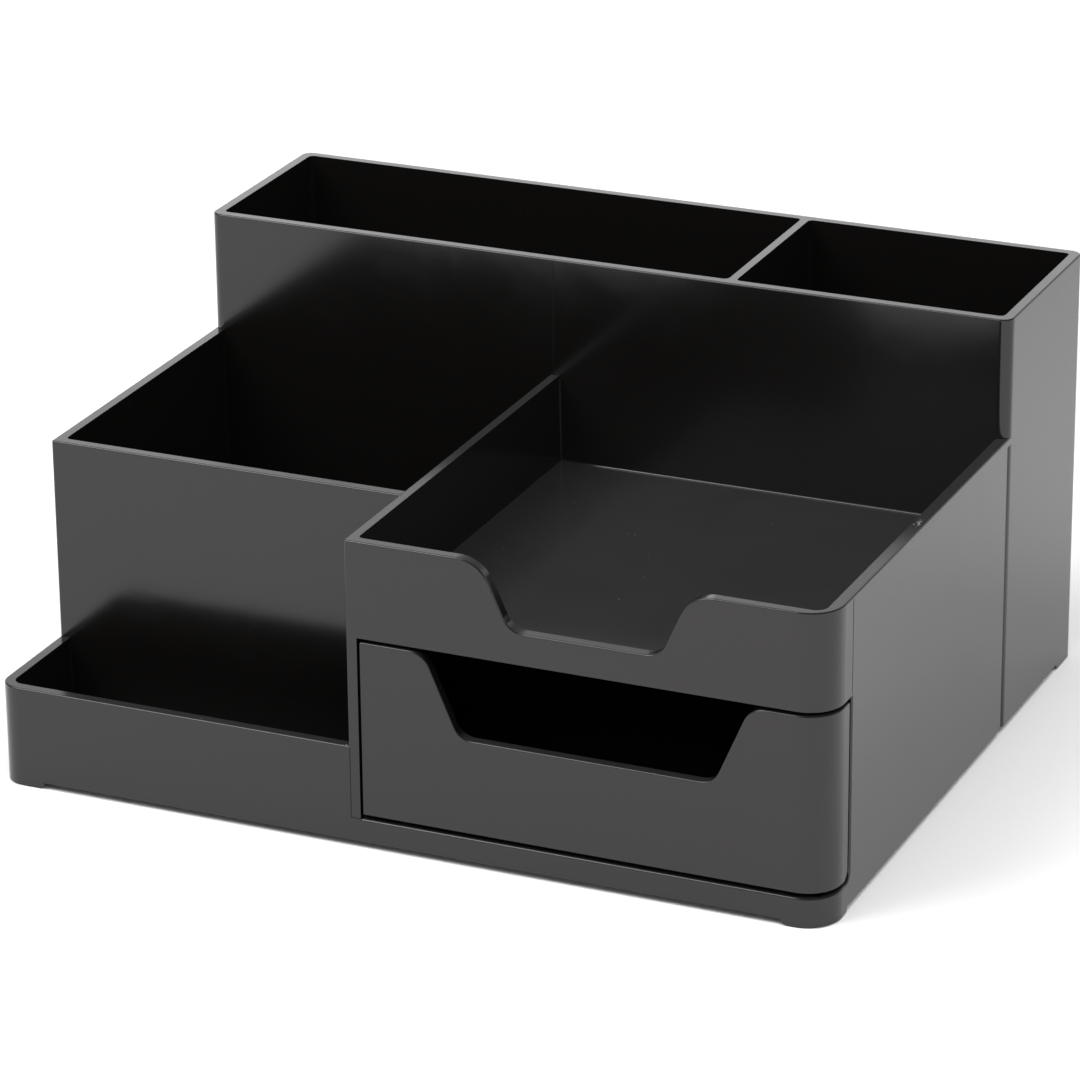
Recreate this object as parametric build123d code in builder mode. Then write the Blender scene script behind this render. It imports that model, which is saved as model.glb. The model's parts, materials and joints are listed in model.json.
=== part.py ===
from build123d import *
from math import radians, tan
import os

# A desk organiser moulded in black plastic: a tall two-cell tower across the back, a deep pocket with a
# low clip tray before it on the left, and an open tray over a drawer bay on the right.
# Millimetres. X runs along the front, Y from front to back, Z up; the origin is under the middle.

# ---- driving dimensions ------------------------------------------------------------------------------
width = 254.0            # 10 in across the front
depth = 206.0            # front face to back face
pad_proud = 0.5          # how far the pads stand below the moulded feet
foot_drop = 1.5          # how far the moulded feet stand below the walls
skirt = pad_proud + foot_drop        # the walls' lower edge above the desk

tower_top = skirt + 126.5            # rim of the tower
tray_rim = skirt + 90.4              # rim of the upper tray
pocket_rim = skirt + 89.6            # rim of the deep pocket
clip_rim = skirt + 28.6              # rim of the clip tray
tray_floor = skirt + 63.6            # floor of the upper tray
bay_top = skirt + 61.8               # ceiling of the drawer bay
bay_sill = skirt + 7.0               # lip along the front of the bay
base_floor = skirt + 6.0             # floor of the pockets, the tower and the bay
base_under = skirt + 3.4             # underside of the base plate

tower_face = 140.5       # front face back to the tower's front wall
pocket_face = 37.9       # front face back to the pocket's front wall
partition_left = 111.4   # left side in to the partition between pocket and tray
bay_left = 114.7         # left side in to the drawer bay
tower_split = 166.6      # left side in to the tower's divider
divider_wall = 2.5

wall = 3.1               # walls at their rims
partition_wall = 2.9
side_wall = 3.6          # the right side, beside tray and drawer
back_of_bay = 3.1        # bay's rear wall

tower_radius = 3.4       # upright corners of the tower
clip_radius = 6.5        # front left corner
tray_radius = 10.0       # front right corner
edge_radius = 0.45       # outer edge of every rim
sill_radius = 0.7        # outer edge of the sill under the drawer
pocket_corner = 0.8      # nearly sharp corner of the deep pocket
upright_edge = 0.6       # upright edge of the tray module beside the clip tray
deep_draft = 0.4         # degrees, walls of the tower and pocket
tray_draft = 1.0         # degrees, walls of the two trays
cell_corner = 1.6        # upright inner corners
bead_corner = 0.8        # and those that meet a taller wall
corner_start = 1.2       # rounded corners against a taller wall start this far below a rim
floor_radius = 0.5       # inner edge along the floors

scoop_centre = 182.7     # left side in to the middle of both finger scoops
tray_scoop_depth = 19.4
tray_scoop_top = 30.7    # half widths of the notch in the tray's front wall
tray_scoop_base = 22.1
tray_scoop_soft = (10.5, 6.5)        # radii where the notch leaves the rim, and at its foot
drawer_scoop_depth = 24.1
drawer_scoop_top = 48.0
drawer_scoop_base = 37.6
drawer_scoop_soft = (6.5, 6.0)

groove_depth = 1.2       # upright groove where the tower's rounded corner meets the side wall
groove_cap = 2.2         # height of rim that closes the groove
return_end = 15.8        # the right wall's front edge beside the drawer, back from the front face
return_corner = 3.0      # its rounded lower corner

foot_length = 14.0
foot_end_radius = 1.2    # soft ends where a foot meets the wall
pad_diameter = 9.6
pad_seat = 1.0           # depth of the seat in each foot
pad_seat_gap = 0.2       # all round the pad
pad_inset = 8.0          # pad centre from both outer faces
pad_edge = 0.3

rib_wall = 1.4
rib_short = 0.6          # ribs stop this far above the walls' lower edge
rib_pitch_x = 47.0
rib_pitch_y = 44.0
rib_count_x = 5
rib_count_y = 4

drawer_gap = 0.9         # left of the drawer
drawer_top = skirt + 60.6
drawer_under = skirt + 8.6
drawer_front = 3.0       # thickness of the drawer's front
drawer_wall = 2.2
drawer_floor = 2.2
drawer_back = 135.8      # front face back to the drawer's rear wall
drawer_side_drop = 2.0   # side and rear walls stop this far below the front
drawer_side_gap = 0.8    # right wall clear of the bay's side
return_gap = 2.0         # between the drawer's wrapped end and the side wall
runner_clear = 0.4       # runners above the sill, and stops above the floor
runner_wall = 2.0
runner_inset = 11.0
stop_face = 100.0        # front face back to the stops under the drawer
stop_size = (7.0, 4.0)

# ---- places worked out from them ---------------------------------------------------------------------
left, right = -width / 2, width / 2
front, back = -depth / 2, depth / 2
tower_front = front + tower_face
pocket_front = front + pocket_face
part_x = left + partition_left
bay_x0, bay_x1 = left + bay_left, right - side_wall
bay_back = tower_front - back_of_bay
scoop_x = left + scoop_centre
notch_cut = -(wall + tray_radius / 2)    # through a front wall, from its outer face
pad_x, pad_y = right - pad_inset, back - pad_inset
pad_centres = ((-pad_x, -pad_y), (pad_x, -pad_y), (-pad_x, pad_y), (pad_x, pad_y))
foot_centres = ((left, front), (right, front), (left, back), (right, back))
touch = 0.02             # how near two heights or points count as the same


def plan(x0, x1, y0, y1, front_left=0.0, front_right=0.0, back_left=0.0, back_right=0.0):
    """A rectangle in plan, each corner rounded by its own radius."""
    with Locations(((x0 + x1) / 2, (y0 + y1) / 2)):
        Rectangle(x1 - x0, y1 - y0)
    corners = ((x0, y0, front_left), (x1, y0, front_right), (x0, y1, back_left), (x1, y1, back_right))
    for x, y, radius in corners:
        if radius:
            fillet(vertices().sort_by_distance((x, y))[0], radius)


def hollow(x0, x1, y0, y1, rim, floor, draft, leaning, **radii):
    """Cuts a hollow whose left, right, front and back walls lean in towards the floor where asked."""
    lean = (rim - floor) * tan(radians(draft))
    lean_left, lean_right, lean_front, lean_back = (lean * side for side in leaning)
    with BuildSketch(Plane.XY.offset(rim)) as mouth:
        plan(x0, x1, y0, y1, **radii)
    with BuildSketch(Plane.XY.offset(floor)) as bottom:
        plan(x0 + lean_left, x1 - lean_right, y0 + lean_front, y1 - lean_back, **radii)
    loft([mouth.sketch, bottom.sketch], mode=Mode.SUBTRACT)


def flat_faces(part, height):
    """Faces that look up at one height."""
    level = part.faces().filter_by(Axis.Z).filter_by(lambda f: abs(f.center().Z - height) < touch)
    return level.filter_by(lambda f: f.normal_at().Z > 0)


def rim_edges(part, height, mouths):
    """Outer edges of a rim, which the tool rounds. The edges round the mouths, where the core shuts off,
    stay sharp, and so do those under a taller wall or where the rim runs on into a finger notch."""
    solid = part.solid()

    def is_outer(edge):
        middle = edge.position_at(0.5)
        across = edge.tangent_at(0.5).cross(Vector(0, 0, touch))
        sides = [middle + across, middle - across]
        walled = any(solid.is_inside(side + Vector(0, 0, touch)) for side in sides)
        runs_on = all(solid.is_inside(side - Vector(0, 0, touch)) for side in sides)
        at_mouth = any(
            x0 - touch < middle.X < x1 + touch and y0 - touch < middle.Y < y1 + touch
            for x0, x1, y0, y1 in mouths
        )
        return not walled and not runs_on and not at_mouth

    return flat_faces(part, height).edges().filter_by(is_outer)


def finger_notch(rim, foot, half_top, half_base, soft_top, soft_foot):
    """Upright outline of a finger notch, open at the rim, with soft shoulders and a softened foot."""
    reach = half_top + 2 * soft_top
    above = rim + 2 * edge_radius
    with BuildSketch(Plane.XZ.offset(-front)) as notch:
        with BuildLine():
            Polyline(
                (scoop_x - reach, above),
                (scoop_x - reach, rim),
                (scoop_x - half_top, rim),
                (scoop_x - half_base, foot),
                (scoop_x + half_base, foot),
                (scoop_x + half_top, rim),
                (scoop_x + reach, rim),
                (scoop_x + reach, above),
                close=True,
            )
        make_face()
        fillet(vertices().group_by(Axis.Y)[0], soft_foot)
        fillet(vertices().group_by(Axis.Y)[-2].sort_by(Axis.X)[1:3], soft_top)
    return notch.sketch


tray_notch = finger_notch(
    tray_rim, tray_rim - tray_scoop_depth, tray_scoop_top, tray_scoop_base, *tray_scoop_soft
)
drawer_notch = finger_notch(
    drawer_top, drawer_top - drawer_scoop_depth, drawer_scoop_top, drawer_scoop_base, *drawer_scoop_soft
)

# ---- housing: outer forms ----------------------------------------------------------------------------
with BuildPart() as housing:
    # the whole front module up to the low rim, with its two rounded front corners
    with BuildSketch(Plane.XY.offset(skirt)):
        plan(left, right, front, tower_front, front_left=clip_radius, front_right=tray_radius)
    extrude(amount=clip_rim - skirt)

    # deep pocket: stands back from the clip tray, nearly sharp at its front left corner
    with BuildSketch(Plane.XY.offset(skirt)):
        plan(left, part_x + partition_wall, pocket_front, tower_front, front_left=pocket_corner)
    extrude(amount=pocket_rim - skirt)

    # tray over the drawer bay, with the large rounded corner at the right
    with BuildSketch(Plane.XY.offset(skirt)):
        plan(part_x, right, front, tower_front, front_left=upright_edge, front_right=tray_radius)
    extrude(amount=tray_rim - skirt)

    # tower across the back, rounded at its four upright corners
    with BuildSketch(Plane.XY.offset(skirt)):
        plan(left, right, tower_front, back, *[tower_radius] * 4)
    extrude(amount=tower_top - skirt)

    # the side walls run on into the tower's rounded corners, set in so that a groove is left
    with BuildSketch(Plane.XY.offset(skirt)):
        with Locations((0, tower_front)):
            Rectangle(width - 2 * groove_depth, 2 * tower_radius)
    extrude(amount=pocket_rim - skirt)

    # and come flush again just under the rims, which closes the groove at its top
    with BuildSketch(Plane.XY.offset(pocket_rim - groove_cap)):
        plan(left, left + 2 * tower_radius, tower_front, tower_front + tower_radius)
    extrude(amount=groove_cap)
    with BuildSketch(Plane.XY.offset(tray_rim - groove_cap)):
        plan(right - 2 * tower_radius, right, tower_front, tower_front + tower_radius)
    extrude(amount=groove_cap)

    # moulded feet at the four corners, flush with the walls
    with BuildSketch(Plane.XY.offset(skirt)):
        plan(left, right, front, back, clip_radius, tray_radius, tower_radius, tower_radius)
        Rectangle(width - 2 * foot_length, depth, mode=Mode.SUBTRACT)
        Rectangle(width, depth - 2 * foot_length, mode=Mode.SUBTRACT)
    extrude(amount=-foot_drop)
    foot_ends = (
        edges().group_by(Axis.Z)[0].filter_by(GeomType.LINE)
        .filter_by(lambda e: abs(e.center().X) < right - 2 * touch and abs(e.center().Y) < back - 2 * touch)
    )
    fillet(foot_ends, foot_end_radius)

    # ---- housing: hollows ----------------------------------------------------------------------------
    # the tower's two cells, deep pocket, clip tray and upper tray, each drafted so that its core draws out:
    # drafted under their own rims, upright against a taller wall
    split = left + tower_split
    inner_radius = clip_radius - wall
    all_round = dict.fromkeys(("front_left", "front_right", "back_left", "back_right"), cell_corner)
    cells = (
        (left + wall, split, tower_front + wall, back - wall, tower_top, base_floor),
        (split + divider_wall, right - wall, tower_front + wall, back - wall, tower_top, base_floor),
    )
    trays = (
        (left + wall, part_x, pocket_front + wall, tower_front, pocket_rim, base_floor),
        (left + wall, part_x, front + wall, pocket_front, clip_rim, base_floor),
        (part_x + partition_wall, bay_x1, front + wall, tower_front, tray_rim, tray_floor),
    )
    for cell in cells:
        hollow(*cell, deep_draft, (1, 1, 1, 1), **all_round)
    hollow(*trays[0], deep_draft, (1, 0, 1, 0), front_left=cell_corner)
    hollow(*trays[1], tray_draft, (1, 0, 1, 0), front_left=inner_radius)
    hollow(*trays[2], tray_draft, (1, 1, 1, 0), front_left=cell_corner, front_right=inner_radius)

    # soft inner edge round the floors of the two shallow trays
    clip_floor = flat_faces(housing.part, base_floor).filter_by(lambda f: f.center().Y < pocket_front)
    fillet((clip_floor + flat_faces(housing.part, tray_floor)).edges(), floor_radius)

    # their square corners are softened by beads that start just under the rim
    for x0, x1, y0, y1, rim, floor in trays:
        rounded_front = y0 + cell_corner if x1 == bay_x1 else y0
        with BuildSketch(Plane.XY.offset(floor)):
            plan(x0, x1, rounded_front, y1)
            with Locations(((x0 + x1) / 2, (y0 + y1) / 2)):
                RectangleRounded(x1 - x0, y1 - y0, bead_corner, mode=Mode.SUBTRACT)
        extrude(amount=rim - corner_start - floor)

    # drawer bay: its floor lies behind a low sill, and it opens round the front right corner
    with BuildSketch(Plane.XY.offset(bay_sill)):
        plan(bay_x0, bay_x1, front, bay_back)
    extrude(amount=bay_top - bay_sill, mode=Mode.SUBTRACT)
    with BuildSketch(Plane.XY.offset(base_floor)):
        plan(bay_x0, bay_x1, front + wall, bay_back)
    extrude(amount=bay_sill - base_floor, mode=Mode.SUBTRACT)
    with BuildSketch(Plane.YZ.offset(bay_x1 - side_wall)):
        plan(front, front + return_end, bay_sill, bay_top, front_right=return_corner)
    extrude(amount=2 * side_wall, mode=Mode.SUBTRACT)

    # finger notch in the tray's front wall
    extrude(tray_notch, amount=notch_cut, mode=Mode.SUBTRACT)

    # ---- housing: underside --------------------------------------------------------------------------
    # hollow under the base plate, which leaves a skirt all round and solid corners over the feet
    with BuildSketch(Plane.XY.offset(skirt)):
        Rectangle(width - 2 * wall, depth - 2 * wall)
        with Locations(*foot_centres):
            Rectangle(2 * foot_length - wall, 2 * foot_length - wall, mode=Mode.SUBTRACT)
    extrude(amount=base_under - skirt, mode=Mode.SUBTRACT)

    # stiffening ribs across and along the base plate
    with BuildSketch(Plane.XY.offset(base_under)):
        with GridLocations(rib_pitch_x, 0, rib_count_x, 1):
            Rectangle(rib_wall, depth - wall)
        with GridLocations(0, rib_pitch_y, 1, rib_count_y):
            Rectangle(width - wall, rib_wall)
    extrude(amount=skirt + rib_short - base_under)

    # round seats for the pads, one in each foot
    with BuildSketch(Plane.XY.offset(pad_proud)):
        with Locations(*pad_centres):
            Circle(pad_diameter / 2 + pad_seat_gap)
    extrude(amount=pad_seat, mode=Mode.SUBTRACT)

    # the outer edge of every rim is rounded, and the rounding runs on down round the finger notch
    for rim in (tower_top, tray_rim, pocket_rim, clip_rim):
        mouths = [place[:4] for place in cells + trays if place[4] == rim]
        fillet(rim_edges(housing.part, rim, mouths), edge_radius)
    # the sill's outer edge is rounder, and its rounding runs on up the front edge of the right wall
    fillet(flat_faces(housing.part, bay_sill).edges().sort_by(Axis.Y)[0], sill_radius)

housing.part.label = "housing"
export_step(housing.part, "parts/housing.step")

# ---- drawer ------------------------------------------------------------------------------------------
with BuildPart() as drawer:
    # box behind the front
    box_x0, box_x1 = bay_x0 + drawer_gap, bay_x1 - drawer_side_gap
    box_back = front + drawer_back
    box_rim = drawer_top - drawer_side_drop
    with BuildSketch(Plane.XY.offset(drawer_under)):
        inside_wrap = tray_radius - (right - box_x1)
        plan(box_x0, box_x1, front, box_back, 0, inside_wrap, cell_corner, cell_corner)
    extrude(amount=box_rim - drawer_under)

    # front panel, which wraps round the housing's rounded corner and ends in a short return
    return_y = front + return_end - return_gap
    with BuildSketch(Plane.XY.offset(drawer_under)):
        plan(box_x0, right, front, return_y, front_right=tray_radius)
        with Locations((box_x0, front + drawer_front)):
            Rectangle(box_x1 - drawer_wall / 2 - box_x0, return_end, align=Align.MIN, mode=Mode.SUBTRACT)
    extrude(amount=drawer_top - drawer_under)
    return_foot = (
        edges().filter_by(Axis.X).group_by(Axis.Z)[0]
        .filter_by(lambda e: abs(e.center().Y - return_y) < touch)
    )
    fillet(return_foot, return_corner)

    # inside, drafted at the sides and the back
    inside = (box_x0 + drawer_wall, box_x1 - drawer_wall, front + drawer_front, box_back - drawer_wall)
    hollow(
        *inside, box_rim, drawer_under + drawer_floor, deep_draft, (1, 1, 0, 1),
        back_left=cell_corner, back_right=cell_corner,
    )
    fillet(flat_faces(drawer.part, drawer_under + drawer_floor).edges(), floor_radius)

    # finger notch, wide and open at the top
    extrude(drawer_notch, amount=notch_cut, mode=Mode.SUBTRACT)

    # runners that slide over the sill, and the stops that catch behind it when the drawer is drawn out
    runner_y0 = front + wall + runner_clear
    runner_x = (box_x0 + runner_inset, box_x1 - runner_inset)
    with BuildSketch(Plane.XY.offset(drawer_under)):
        for x in runner_x:
            with Locations((x, (runner_y0 + box_back) / 2)):
                Rectangle(runner_wall, box_back - runner_y0)
    extrude(amount=bay_sill + runner_clear - drawer_under)
    with BuildSketch(Plane.XY.offset(drawer_under)):
        for x in runner_x:
            with Locations((x, front + stop_face + stop_size[1] / 2)):
                Rectangle(*stop_size)
    extrude(amount=base_floor + runner_clear - drawer_under)

    fillet(rim_edges(drawer.part, drawer_top, [inside]), edge_radius)

drawer.part.label = "drawer"
export_step(drawer.part, "parts/drawer.step")

# ---- pads --------------------------------------------------------------------------------------------
pad_names = ("pad_front_left", "pad_front_right", "pad_back_left", "pad_back_right")
for name, centre in zip(pad_names, pad_centres):
    with BuildPart() as pad:
        with BuildSketch(Plane.XY):
            with Locations(centre):
                Circle(pad_diameter / 2)
        extrude(amount=pad_proud + pad_seat)
        chamfer(edges().group_by(Axis.Z)[0], pad_edge)
    pad.part.label = name
    export_step(pad.part, f"parts/{name}.step")
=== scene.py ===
"""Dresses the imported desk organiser.

It gives the mouldings their black plastic and the pads their rubber, adds the witness lines and
scuffs, and sets up a pale studio with the camera.
"""
import json
from math import cos, radians, sin
from random import Random

import bmesh
import bpy
from bpy.props import FloatProperty, FloatVectorProperty, PointerProperty
from mathutils import Matrix, Vector


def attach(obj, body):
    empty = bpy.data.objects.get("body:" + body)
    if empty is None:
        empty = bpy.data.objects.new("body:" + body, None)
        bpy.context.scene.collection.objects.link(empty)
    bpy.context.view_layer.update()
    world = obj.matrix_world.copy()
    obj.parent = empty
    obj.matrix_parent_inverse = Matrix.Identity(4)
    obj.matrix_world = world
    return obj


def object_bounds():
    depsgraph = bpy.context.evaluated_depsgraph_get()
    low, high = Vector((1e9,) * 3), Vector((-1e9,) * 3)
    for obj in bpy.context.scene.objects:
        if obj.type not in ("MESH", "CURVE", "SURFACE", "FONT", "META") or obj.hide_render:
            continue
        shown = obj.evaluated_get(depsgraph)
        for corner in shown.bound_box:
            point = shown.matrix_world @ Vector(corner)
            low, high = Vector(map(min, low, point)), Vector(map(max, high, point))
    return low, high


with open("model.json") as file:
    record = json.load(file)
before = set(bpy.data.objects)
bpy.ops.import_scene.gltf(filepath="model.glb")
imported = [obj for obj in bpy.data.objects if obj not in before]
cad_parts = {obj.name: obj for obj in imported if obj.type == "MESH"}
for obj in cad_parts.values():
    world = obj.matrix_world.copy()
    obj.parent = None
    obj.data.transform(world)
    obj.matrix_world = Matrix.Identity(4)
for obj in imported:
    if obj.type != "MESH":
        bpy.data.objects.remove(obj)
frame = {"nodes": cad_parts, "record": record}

bl_info = {
    "name": "Desk organiser",
    "version": (1, 0, 0),
    "blender": (4, 5, 0),
    "location": "View3D > Sidebar > Organiser",
    "description": "Dresses the packed desk organiser and sets its studio",
    "category": "Add Mesh",
}

MM = 0.001
CAD_LOW, CAD_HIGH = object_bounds()
BODY_OF = {
    name: body
    for body, names in frame["record"]["behaviour"]["bodies"].items()
    for name in names
}
MOULDINGS = ("housing", "drawer")
PADS = sorted(name for name in frame["nodes"] if name.startswith("pad_"))


# ---- settings a user would change ----------------------------------------------------------------
class PlasticSettings(bpy.types.PropertyGroup):
    """Finish of the two black mouldings."""

    colour: FloatVectorProperty(
        name="Plastic colour", description="Colour of the moulded plastic", subtype="COLOR",
        size=3, default=(0.0048, 0.0044, 0.0041), min=0.0, max=1.0,
    )
    gloss: FloatProperty(
        name="Roughness", description="Roughness of the clean plastic", default=0.16,
        min=0.0, max=1.0,
    )
    ior: FloatProperty(
        name="Refraction",
        description="Index of refraction of the plastic, which sets how much it mirrors",
        default=1.53, min=1.0, max=2.0,
    )
    film: FloatProperty(
        name="Dust film", description="How much the film of settled dust pales a level face",
        default=0.0145, min=0.0, max=1.0, precision=4,
    )
    ripple: FloatProperty(
        name="Ripple height",
        description="Height of the slow ripple that cooling leaves in the walls",
        default=0.02 * MM, unit="LENGTH", precision=6,
    )
    grain: FloatProperty(
        name="Grain height", description="Height of the fine grain of the mould",
        default=0.0012 * MM, unit="LENGTH", precision=6,
    )


class MarkSettings(bpy.types.PropertyGroup):
    """Lines and marks that moulding and handling leave on the housing."""

    line_width: FloatProperty(
        name="Line width", description="Width of the witness lines where parts of the mould meet",
        default=0.26 * MM, unit="LENGTH", precision=6,
    )
    line_proud: FloatProperty(
        name="Line height", description="How far the witness lines stand proud of the wall",
        default=0.05 * MM, unit="LENGTH", precision=6,
    )
    line_roughness: FloatProperty(
        name="Line roughness", description="Roughness of the plastic along the lines", default=0.5,
        min=0.0, max=1.0,
    )
    scuff_colour: FloatVectorProperty(
        name="Scuff colour", description="Colour of plastic that has been scraped",
        subtype="COLOR", size=3, default=(0.30, 0.29, 0.28), min=0.0, max=1.0,
    )


class PadSettings(bpy.types.PropertyGroup):
    """Finish of the non-slip pads."""

    colour: FloatVectorProperty(
        name="Pad colour", description="Colour of the rubber pads", subtype="COLOR",
        size=3, default=(0.025, 0.025, 0.024), min=0.0, max=1.0,
    )
    roughness: FloatProperty(
        name="Roughness", description="Roughness of the rubber", default=0.75, min=0.0, max=1.0,
    )


class StageSettings(bpy.types.PropertyGroup):
    """Floor, surround and lamps."""

    floor_colour: FloatVectorProperty(
        name="Floor colour", description="Colour of the pale floor", subtype="COLOR",
        size=3, default=(0.93, 0.93, 0.93), min=0.0, max=1.0,
    )
    floor_size: FloatProperty(
        name="Floor size", description="Side of the square floor", default=16.0, unit="LENGTH",
    )
    ceiling: FloatProperty(
        name="Ceiling", description="How bright reflections see the studio overhead", default=0.2,
        min=0.0, max=1.0,
    )
    room_light: FloatProperty(
        name="Room light", description="Strength of the even light from all round", default=0.46,
        min=0.0,
    )
    key_power: FloatProperty(
        name="Key power", description="Power of the large soft box at the left, in watts",
        default=26.0,
    )
    top_power: FloatProperty(
        name="Top power",
        description="Power of the fill from above, in watts, which reflections don't show",
        default=20.0,
    )
    back_power: FloatProperty(
        name="Back power", description="Power of the low wide soft box behind, in watts",
        default=5.0,
    )


# ---- shader helpers ------------------------------------------------------------------------------
def feed(node, inputs):
    """Links each input, given by name or index, to the socket given for it, or sets its value."""
    for label, value in inputs.items():
        if isinstance(value, bpy.types.NodeSocket):
            node.id_data.links.new(value, node.inputs[label])
        else:
            node.inputs[label].default_value = value


def add_node(tree, kind, inputs=None, **properties):
    """Adds a node, sets its properties, and then feeds its inputs."""
    node = tree.nodes.new(kind)
    for key, value in properties.items():
        setattr(node, key, value)
    feed(node, inputs or {})
    return node


def maths(tree, operation, *operands, clamp=False):
    """A Math node whose operands are sockets or numbers; returns its output."""
    node = add_node(
        tree, "ShaderNodeMath", dict(enumerate(operands)), operation=operation, use_clamp=clamp,
    )
    return node.outputs[0]


def ramp(tree, factor, span, values=(0.0, 1.0)):
    """A smooth Map Range from one span of numbers to another, held at its ends."""
    ends = dict(zip(("From Min", "From Max", "To Min", "To Max"), (*span, *values)))
    node = add_node(
        tree, "ShaderNodeMapRange", {"Value": factor, **ends}, interpolation_type="SMOOTHSTEP",
    )
    return node.outputs["Result"]


def noise(tree, vector, scale, detail=2.0, roughness=0.5, distortion=0.0):
    """A noise texture on a vector; returns its factor."""
    node = add_node(tree, "ShaderNodeTexNoise", {
        "Vector": vector, "Scale": scale, "Detail": detail, "Roughness": roughness,
        "Distortion": distortion,
    })
    return node.outputs["Fac"]


def opaque(colour):
    """A colour of three parts with full alpha."""
    return (*colour, 1.0)


def mix_colours(tree, factor, first, second):
    """A Mix of two colours, each a socket or four numbers; returns its output."""
    node = add_node(
        tree, "ShaderNodeMix", {"Factor": factor, "A": first, "B": second}, data_type="RGBA",
    )
    return node.outputs["Result"]


# ---- node groups that the finishes share ---------------------------------------------------------
# Scales of noise are in features per metre. A span is where something starts and where it is full.
RIPPLE_SCALE = 22.0
GRAIN_SCALE = 5200.0
SMUDGE_SCALE = 34.0
SMUDGE_SPAN = (0.48, 0.74)        # of the cloud
SPECK_SCALE = 420.0
SPECK_EDGE = (0.05, 0.09)         # distance from a cell's middle at which a speck of dust ends
SPECK_CHANCE = (0.93, 0.94)       # above which a cell's random number gives it a speck
DUST_SLOPE = (0.6, 0.9)           # upward part of the normal at which dust comes to rest
DUST_HELD = (0.12, 1.0)           # share of the dust on a wall and on a level face
FILM_SLOPE = (0.7, 0.98)          # upward part of the normal at which the film shows
FILM_CLOUD = (0.2, 0.8)           # span of the cloud that makes the film uneven
FILM_TONES = (0.85, 1.15)         # and how much it varies


def new_group(name, inputs, outputs):
    """A node group with the sockets given as {name: kind}; returns it and its two end nodes."""
    tree = bpy.data.node_groups.new(name, "ShaderNodeTree")
    for in_out, sockets in (("INPUT", inputs), ("OUTPUT", outputs)):
        for label, kind in sockets.items():
            tree.interface.new_socket(
                name=label, in_out=in_out, socket_type="NodeSocket" + kind,
            )
    return tree, tree.nodes.new("NodeGroupInput"), tree.nodes.new("NodeGroupOutput")


def mould_relief_group(name):
    """Height of a moulded skin: a slow ripple from cooling and a very fine grain of the mould."""
    tree, start, end = new_group(
        name, {"Vector": "Vector", "Ripple": "Float", "Grain": "Float"}, {"Height": "Float"},
    )
    vector = start.outputs["Vector"]
    ripple = noise(tree, vector, RIPPLE_SCALE, detail=1.0)
    grain = noise(tree, vector, GRAIN_SCALE, detail=1.0)
    slow = maths(tree, "MULTIPLY", ripple, start.outputs["Ripple"])
    fine = maths(tree, "MULTIPLY", grain, start.outputs["Grain"])
    feed(end, {"Height": maths(tree, "ADD", slow, fine)})
    return tree


def handling_group(name):
    """Where hands and dust have been: smudges, specks of dust and the film on level faces."""
    tree, start, end = new_group(
        name, {"Vector": "Vector", "Normal": "Vector"},
        {"Smudge": "Float", "Dust": "Float", "Film": "Float"},
    )
    vector = start.outputs["Vector"]
    cloud = noise(tree, vector, SMUDGE_SCALE, detail=5.0, roughness=0.62, distortion=0.6)
    normal = add_node(tree, "ShaderNodeSeparateXYZ", {"Vector": start.outputs["Normal"]})
    upward = normal.outputs["Z"]

    cells = add_node(tree, "ShaderNodeTexVoronoi", {"Vector": vector, "Scale": SPECK_SCALE})
    chance = add_node(tree, "ShaderNodeSeparateColor", {"Color": cells.outputs["Color"]})
    near = ramp(tree, cells.outputs["Distance"], SPECK_EDGE, (1.0, 0.0))
    few = ramp(tree, chance.outputs["Red"], SPECK_CHANCE)
    specks = maths(tree, "MULTIPLY", near, few)
    held = ramp(tree, upward, DUST_SLOPE, DUST_HELD)

    level = ramp(tree, upward, FILM_SLOPE)
    uneven = ramp(tree, cloud, FILM_CLOUD, FILM_TONES)
    feed(end, {
        "Smudge": ramp(tree, cloud, SMUDGE_SPAN),
        "Dust": maths(tree, "MULTIPLY", specks, held),
        "Film": maths(tree, "MULTIPLY", level, uneven),
    })
    return tree


RELIEF = "Mould relief"
HANDLING = "Handling"
GROUP_MAKERS = {RELIEF: mould_relief_group, HANDLING: handling_group}


def shared_group(name):
    """A node group that several finishes use, made when it is first asked for."""
    return bpy.data.node_groups.get(name) or GROUP_MAKERS[name](name)


# ---- finishes ------------------------------------------------------------------------------------
PLASTIC_TINT = (1.0, 0.965, 0.975)        # of the plastic's reflections
DUST_COLOUR = (0.16, 0.155, 0.145)
SMUDGE_ROUGHNESS = 0.05                   # what a smudge adds to the plastic's roughness
DUST_ROUGHNESS = 0.4                      # and what a speck of dust adds

# Painted shade: the witness lines are darker and mirror less than the plastic, standing in for the
# shadow of a groove.
LINE_PAINTED_SHADE_COLOUR = (0.003, 0.003, 0.003)
LINE_PAINTED_SHADE_SPECULAR = 0.25
LINE_GRAIN = 0.01 * MM
LINE_CLOUD_SCALE = 900.0

SCRAPE_GRAIN = 0.02 * MM
SCRAPE_CLOUD_SCALE = 2600.0
SCRAPE_TONES = (0.4, 1.4)                 # darkest and lightest shade of the scuff colour
SCRAPE_ROUGHNESS = (0.4, 0.65)

RUBBER_GRAIN = 0.02 * MM
RUBBER_CLOUD_SCALE = 260.0
RUBBER_TONES = (0.7, 1.4)

MIDDLE_SPAN = (0.2, 0.8)                  # of a cloud, most of what it reaches
WHOLE_SPAN = (0.0, 1.0)
ROUGHNESS_SPREAD = 0.1                    # to either side of a roughness that varies


def new_material(name):
    """An empty node material; returns it with its tree and its Principled shader."""
    material = bpy.data.materials.new(name)
    material.use_nodes = True
    tree = material.node_tree
    return material, tree, tree.nodes["Principled BSDF"]


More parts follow.
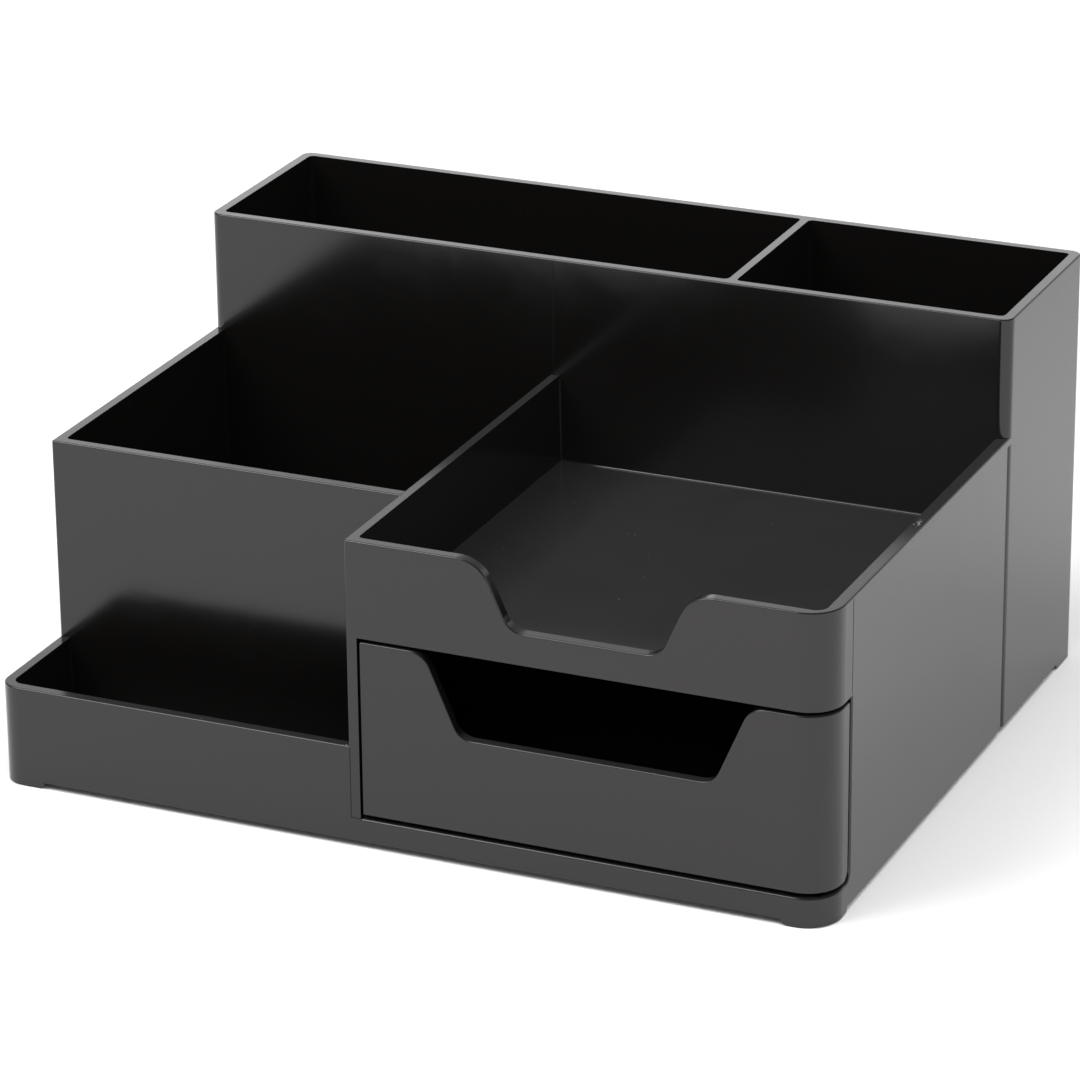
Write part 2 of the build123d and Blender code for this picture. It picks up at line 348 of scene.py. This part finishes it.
def add_relief(tree, shader, grain, ripple=0.0):
    """Bumps a shader by the shared mould relief; returns the Object coordinates it lies on."""
    place = add_node(tree, "ShaderNodeTexCoord").outputs["Object"]
    relief = add_node(
        tree, "ShaderNodeGroup", {"Vector": place, "Ripple": ripple, "Grain": grain},
        node_tree=shared_group(RELIEF),
    )
    bump = add_node(
        tree, "ShaderNodeBump",
        {"Height": relief.outputs["Height"], "Distance": 1.0, "Strength": 1.0},
    )
    feed(shader, {"Normal": bump.outputs["Normal"]})
    return place


def shaded(tree, cloud, colour, tones):
    """A colour that runs from a darker to a lighter shade of itself through a cloud."""
    dark, light = [opaque([tone * part for part in colour]) for tone in tones]
    return mix_colours(tree, cloud, dark, light)


def spread(roughness):
    """The two ends of a roughness that varies."""
    return roughness - ROUGHNESS_SPREAD, roughness + ROUGHNESS_SPREAD


def black_plastic(settings):
    """Satin black moulded plastic with ripple, grain, faint smudges, a film and a little dust."""
    material, tree, shader = new_material("black_moulded_plastic")
    place = add_relief(tree, shader, settings.grain, settings.ripple)
    geometry = add_node(tree, "ShaderNodeNewGeometry")
    handling = add_node(
        tree, "ShaderNodeGroup", {"Vector": place, "Normal": geometry.outputs["Normal"]},
        node_tree=shared_group(HANDLING),
    ).outputs
    clean = opaque(settings.colour)
    covered = opaque([part + settings.film for part in settings.colour])
    filmed = mix_colours(tree, handling["Film"], clean, covered)
    smudged = maths(tree, "MULTIPLY_ADD", handling["Smudge"], SMUDGE_ROUGHNESS, settings.gloss)
    dusted = maths(tree, "MULTIPLY", handling["Dust"], DUST_ROUGHNESS)
    feed(shader, {
        "Base Color": mix_colours(tree, handling["Dust"], filmed, opaque(DUST_COLOUR)),
        "Roughness": maths(tree, "ADD", smudged, dusted, clamp=True),
        "IOR": settings.ior,
        "Specular Tint": opaque(PLASTIC_TINT),
    })
    return material


def line_plastic_painted_shade(settings):
    """The same plastic made darker and less mirroring, as painted shade for the shadow of a groove;
    duller, with a coarser grain.
    """
    material, tree, shader = new_material("black_plastic_duller")
    place = add_relief(tree, shader, LINE_GRAIN)
    cloud = noise(tree, place, LINE_CLOUD_SCALE, detail=3.0)
    # Painted shade: a darker colour and a weaker reflection make the lines read as the shadow of a
    # groove.
    feed(shader, {
        "Base Color": opaque(LINE_PAINTED_SHADE_COLOUR),
        "Roughness": ramp(tree, cloud, MIDDLE_SPAN, spread(settings.line_roughness)),
        "Specular IOR Level": LINE_PAINTED_SHADE_SPECULAR,
    })
    return material


def scraped_plastic(settings):
    """Plastic that a scrape has whitened, uneven in tone."""
    material, tree, shader = new_material("black_plastic_scraped")
    place = add_relief(tree, shader, SCRAPE_GRAIN)
    cloud = noise(tree, place, SCRAPE_CLOUD_SCALE, detail=3.0)
    feed(shader, {
        "Base Color": shaded(tree, cloud, settings.scuff_colour, SCRAPE_TONES),
        "Roughness": ramp(tree, cloud, MIDDLE_SPAN, SCRAPE_ROUGHNESS),
    })
    return material


def pad_rubber(settings):
    """Matt black rubber with a fine grain."""
    material, tree, shader = new_material("pad_black_rubber")
    place = add_relief(tree, shader, RUBBER_GRAIN)
    cloud = noise(tree, place, RUBBER_CLOUD_SCALE, detail=4.0)
    feed(shader, {
        "Base Color": shaded(tree, cloud, settings.colour, RUBBER_TONES),
        "Roughness": ramp(tree, cloud, WHOLE_SPAN, spread(settings.roughness)),
    })
    return material


def dress(node, material):
    """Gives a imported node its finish."""
    slots = frame["nodes"][node].material_slots
    if not slots:
        frame["nodes"][node].data.materials.append(material)
        return
    for slot in slots:
        slot.material = material


# ---- marks on the housing, in millimetres --------------------------------------------------------
# Witness lines as start and end on a wall's face, with the axis that the wall faces.
WITNESS_LINES = (
    ((127.0, -87.2, 64.2), (127.0, -87.2, 91.8), "X"),      # right side, over the drawer's corner
    ((-14.4, 37.5, 92.6), (-14.4, 37.5, 128.0), "Y"),       # tower's front, over the partition
    ((-15.2, -103.0, 9.0), (-15.2, -103.0, 30.2), "Y"),     # front, down from the clip tray's rim
    ((-15.2, -103.0, 9.0), (-12.4, -103.0, 9.0), "Y"),      # and across to the drawer bay
)
LINE_SOFTNESS = 0.7                 # rounding of a line's edges, as a share of its height

# Scuffs as the middle, the spread and the number of their scraped flecks.
SCUFFS = (
    ((125.1, -31.8, 92.4), (1.0, 2.6), 26),                 # rim of the tray's right wall
    ((-15.9, -102.2, 30.6), (1.2, 0.6), 9),                 # end of the clip tray's rim
)
SCUFF_SEED = 11
FLECK_REACH = (0.08, 0.26)          # least and greatest half length of a fleck
FLECK_HEIGHT = 0.05
FLECK_LUMPS = (0.6, 1.2)            # how far a fleck's corners leave a ball
FULL_TURN = radians(360.0)


def finished_piece(name, shape, material):
    """Turns a bmesh in millimetres into a piece that rides on the housing's body."""
    bmesh.ops.scale(shape, vec=(MM, MM, MM), verts=shape.verts)
    bmesh.ops.recalc_face_normals(shape, faces=shape.faces)
    mesh = bpy.data.meshes.new(name)
    shape.to_mesh(mesh)
    shape.free()
    mesh.materials.append(material)
    piece = bpy.data.objects.new(name, mesh)
    bpy.context.scene.collection.objects.link(piece)
    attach(piece, BODY_OF["housing"])


def add_line(shape, start, end, facing, width, proud):
    """Adds one low bar with softened edges, half sunk in a wall that faces an axis."""
    start, end = Vector(start), Vector(end)
    size = Vector([max(abs(length), width) for length in end - start])
    size["XY".index(facing)] = 2 * proud
    corners = bmesh.ops.create_cube(shape, size=1.0)["verts"]
    bmesh.ops.scale(shape, vec=size, verts=corners)
    bmesh.ops.translate(shape, vec=(start + end) / 2, verts=corners)
    edges = list({edge for corner in corners for edge in corner.link_edges})
    bmesh.ops.bevel(
        shape, geom=edges, offset=LINE_SOFTNESS * proud, segments=2, profile=0.5, affect="EDGES",
        material=-1,
    )


def add_fleck(shape, middle, chance):
    """Adds one flat irregular fleck, turned by chance."""
    corners = bmesh.ops.create_icosphere(shape, subdivisions=1, radius=1.0)["verts"]
    for corner in corners:
        corner.co *= chance.uniform(*FLECK_LUMPS)
    reach = (chance.uniform(*FLECK_REACH), chance.uniform(*FLECK_REACH), FLECK_HEIGHT)
    bmesh.ops.scale(shape, vec=reach, verts=corners)
    turn = Matrix.Rotation(chance.uniform(0.0, FULL_TURN), 3, "Z")
    bmesh.ops.rotate(shape, matrix=turn, verts=corners)
    bmesh.ops.translate(shape, vec=middle, verts=corners)


# ---- studio --------------------------------------------------------------------------------------
# Azimuths run from the front towards the right; distances are in metres.
VIEW_AZIMUTH = radians(23.982)
VIEW_ELEVATION = radians(22.112)
VIEW_ROLL = radians(-0.562)
VIEW_DISTANCE = 1.81379
VIEW_AIM = Vector((-117.275, 257.669, -58.892)) * MM      # on the optical axis, which has no shift
VIEW_CLIP = (0.05, 50.0)
SENSOR = 36.0
LENS = 172.75

WHITE = (1.0, 1.0, 1.0, 1.0)
SWEEP_EDGE = (sin(radians(21.0)), sin(radians(31.0)))     # heights of a ray where the sweep ends

# Lamps as name, azimuth, elevation, distance, sides, the setting of their power, and whether
# reflections show them.
LAMPS = (
    ("key_soft_box", -48.0, 50.0, 1.8, (1.2, 1.2), "key_power", True),
    ("top_fill", 50.0, 58.0, 1.6, (1.4, 1.4), "top_power", False),
    ("back_soft_box", 204.0, 12.0, 2.4, (2.4, 0.8), "back_power", True),
)


def look_matrix(aim, azimuth, elevation, roll, distance):
    """Place and turn of something that looks at a point from an azimuth and an elevation."""
    back = Vector((sin(azimuth) * cos(elevation), -cos(azimuth) * cos(elevation), sin(elevation)))
    right = Vector((cos(azimuth), sin(azimuth), 0.0))
    up = back.cross(right)
    turn = Matrix((
        right * cos(roll) + up * sin(roll),
        up * cos(roll) - right * sin(roll),
        back,
    )).transposed()
    return Matrix.Translation(aim + back * distance) @ turn.to_4x4()


def make_world(settings):
    """Even light; the camera sees white, and reflections a white sweep under a dim ceiling."""
    world = bpy.data.worlds.new("studio_white")
    bpy.context.scene.world = world
    world.use_nodes = True
    tree = world.node_tree
    room = tree.nodes["Background"]
    feed(room, {"Color": WHITE, "Strength": settings.room_light})
    ray = add_node(tree, "ShaderNodeLightPath").outputs
    place = add_node(tree, "ShaderNodeTexCoord")
    height = add_node(tree, "ShaderNodeSeparateXYZ", {"Vector": place.outputs["Generated"]})
    sweep = ramp(tree, height.outputs["Z"], SWEEP_EDGE, (1.0, settings.ceiling))
    plain = add_node(
        tree, "ShaderNodeMix", {"Factor": ray["Is Camera Ray"], "A": sweep, "B": 1.0},
    )
    surround = add_node(
        tree, "ShaderNodeBackground", {"Color": WHITE, "Strength": plain.outputs["Result"]},
    )
    seen = maths(tree, "MAXIMUM", ray["Is Camera Ray"], ray["Is Glossy Ray"])
    seen = maths(tree, "MAXIMUM", seen, ray["Is Transmission Ray"])
    mixed = add_node(
        tree, "ShaderNodeMixShader", {"Fac": seen, 1: room.outputs[0], 2: surround.outputs[0]},
    )
    feed(tree.nodes["World Output"], {"Surface": mixed.outputs[0]})


def make_floor(settings):
    """A wide matt floor that the organiser stands on."""
    grid = bmesh.new()
    bmesh.ops.create_grid(grid, x_segments=1, y_segments=1, size=settings.floor_size / 2)
    mesh = bpy.data.meshes.new("studio_floor")
    grid.to_mesh(mesh)
    grid.free()
    floor = bpy.data.objects.new("studio_floor", mesh)
    bpy.context.scene.collection.objects.link(floor)
    material, _, shader = new_material("pale_floor")
    feed(shader, {
        "Base Color": opaque(settings.floor_colour), "Roughness": 1.0, "Specular IOR Level": 0.0,
    })
    mesh.materials.append(material)


def make_lamp(name, azimuth, elevation, distance, sides, power, mirrored):
    """A rectangular soft box that looks at the organiser's middle, seen in reflections or not."""
    data = bpy.data.lights.new(name, "AREA")
    data.shape = "RECTANGLE"
    data.size, data.size_y = sides
    data.energy = power
    lamp = bpy.data.objects.new(name, data)
    middle = (CAD_LOW + CAD_HIGH) / 2
    lamp.matrix_world = look_matrix(middle, radians(azimuth), radians(elevation), 0.0, distance)
    lamp.visible_glossy = mirrored
    bpy.context.scene.collection.objects.link(lamp)


def make_camera():
    """The camera that the photograph was taken from."""
    data = bpy.data.cameras.new("photo_camera")
    data.sensor_width = SENSOR
    data.lens = LENS
    data.clip_start, data.clip_end = VIEW_CLIP
    camera = bpy.data.objects.new("photo_camera", data)
    camera.matrix_world = look_matrix(
        VIEW_AIM, VIEW_AZIMUTH, VIEW_ELEVATION, VIEW_ROLL, VIEW_DISTANCE,
    )
    bpy.context.scene.collection.objects.link(camera)
    bpy.context.scene.camera = camera


# ---- operators -----------------------------------------------------------------------------------
class ORGANISER_OT_mouldings(bpy.types.Operator):
    """Dress the housing and the drawer in moulded black plastic"""

    bl_idname = "organiser.mouldings"
    bl_label = "Housing and drawer"

    def execute(self, context):
        plastic = black_plastic(context.scene.organiser_plastic)
        for node in MOULDINGS:
            dress(node, plastic)
        return {"FINISHED"}


class ORGANISER_OT_pads(bpy.types.Operator):
    """Dress the four pads in black rubber"""

    bl_idname = "organiser.pads"
    bl_label = "Pads"

    def execute(self, context):
        rubber = pad_rubber(context.scene.organiser_pads)
        for node in PADS:
            dress(node, rubber)
        return {"FINISHED"}


class ORGANISER_OT_witness_lines(bpy.types.Operator):
    """Add the thin lines that the mould's slides leave on the housing"""

    bl_idname = "organiser.witness_lines"
    bl_label = "Witness lines"

    def execute(self, context):
        settings = context.scene.organiser_marks
        width, proud = settings.line_width / MM, settings.line_proud / MM
        lines = bmesh.new()
        for start, end, facing in WITNESS_LINES:
            add_line(lines, start, end, facing, width, proud)
        # The lines' plastic is darker and mirrors less: painted shade for the shadow of a groove.
        finished_piece("witness_lines", lines, line_plastic_painted_shade(settings))
        return {"FINISHED"}


class ORGANISER_OT_scuffs(bpy.types.Operator):
    """Scrape the two places where the rims are worn"""

    bl_idname = "organiser.scuffs"
    bl_label = "Scuffs"

    def execute(self, context):
        chance = Random(SCUFF_SEED)
        flecks = bmesh.new()
        for middle, spreads, number in SCUFFS:
            for _ in range(number):
                place = [chance.gauss(m, s / 2) for m, s in zip(middle[:2], spreads)]
                add_fleck(flecks, (*place, middle[2]), chance)
        finished_piece("scuffs", flecks, scraped_plastic(context.scene.organiser_marks))
        return {"FINISHED"}


class ORGANISER_OT_stage(bpy.types.Operator):
    """Set up the pale floor, the soft boxes, the white surround and the camera"""

    bl_idname = "organiser.stage"
    bl_label = "Studio"

    def execute(self, context):
        settings = context.scene.organiser_stage
        make_world(settings)
        make_floor(settings)
        for *where, power, mirrored in LAMPS:
            make_lamp(*where, getattr(settings, power), mirrored)
        make_camera()
        context.scene.view_settings.view_transform = "Standard"
        return {"FINISHED"}


class ORGANISER_PT_panel(bpy.types.Panel):
    """The organiser's settings and steps"""

    bl_label = "Desk organiser"
    bl_idname = "ORGANISER_PT_panel"
    bl_space_type = "VIEW_3D"
    bl_region_type = "UI"
    bl_category = "Organiser"

    def draw(self, context):
        for group, operators in PANEL_ROWS:
            box = self.layout.box()
            settings = getattr(context.scene, group)
            for name in settings.bl_rna.properties.keys():
                if name not in ("rna_type", "name"):
                    box.prop(settings, name)
            for operator in operators:
                box.operator(operator.bl_idname)


PANEL_ROWS = (
    ("organiser_plastic", (ORGANISER_OT_mouldings,)),
    ("organiser_marks", (ORGANISER_OT_witness_lines, ORGANISER_OT_scuffs)),
    ("organiser_pads", (ORGANISER_OT_pads,)),
    ("organiser_stage", (ORGANISER_OT_stage,)),
)
SETTINGS = {
    "organiser_plastic": PlasticSettings,
    "organiser_marks": MarkSettings,
    "organiser_pads": PadSettings,
    "organiser_stage": StageSettings,
}
CLASSES = (
    *SETTINGS.values(),
    *[operator for _, operators in PANEL_ROWS for operator in operators],
    ORGANISER_PT_panel,
)


def register():
    """Registers the classes and hangs the settings on the scene."""
    for cls in CLASSES:
        bpy.utils.register_class(cls)
    for name, cls in SETTINGS.items():
        setattr(bpy.types.Scene, name, PointerProperty(type=cls))


def unregister():
    """Takes back what register did."""
    for name in SETTINGS:
        delattr(bpy.types.Scene, name)
    for cls in reversed(CLASSES):
        bpy.utils.unregister_class(cls)


def main():
    register()
    bpy.ops.organiser.stage()
    bpy.ops.organiser.mouldings()
    bpy.ops.organiser.pads()
    bpy.ops.organiser.witness_lines()
    bpy.ops.organiser.scuffs()


if __name__ == "__main__":
    main()
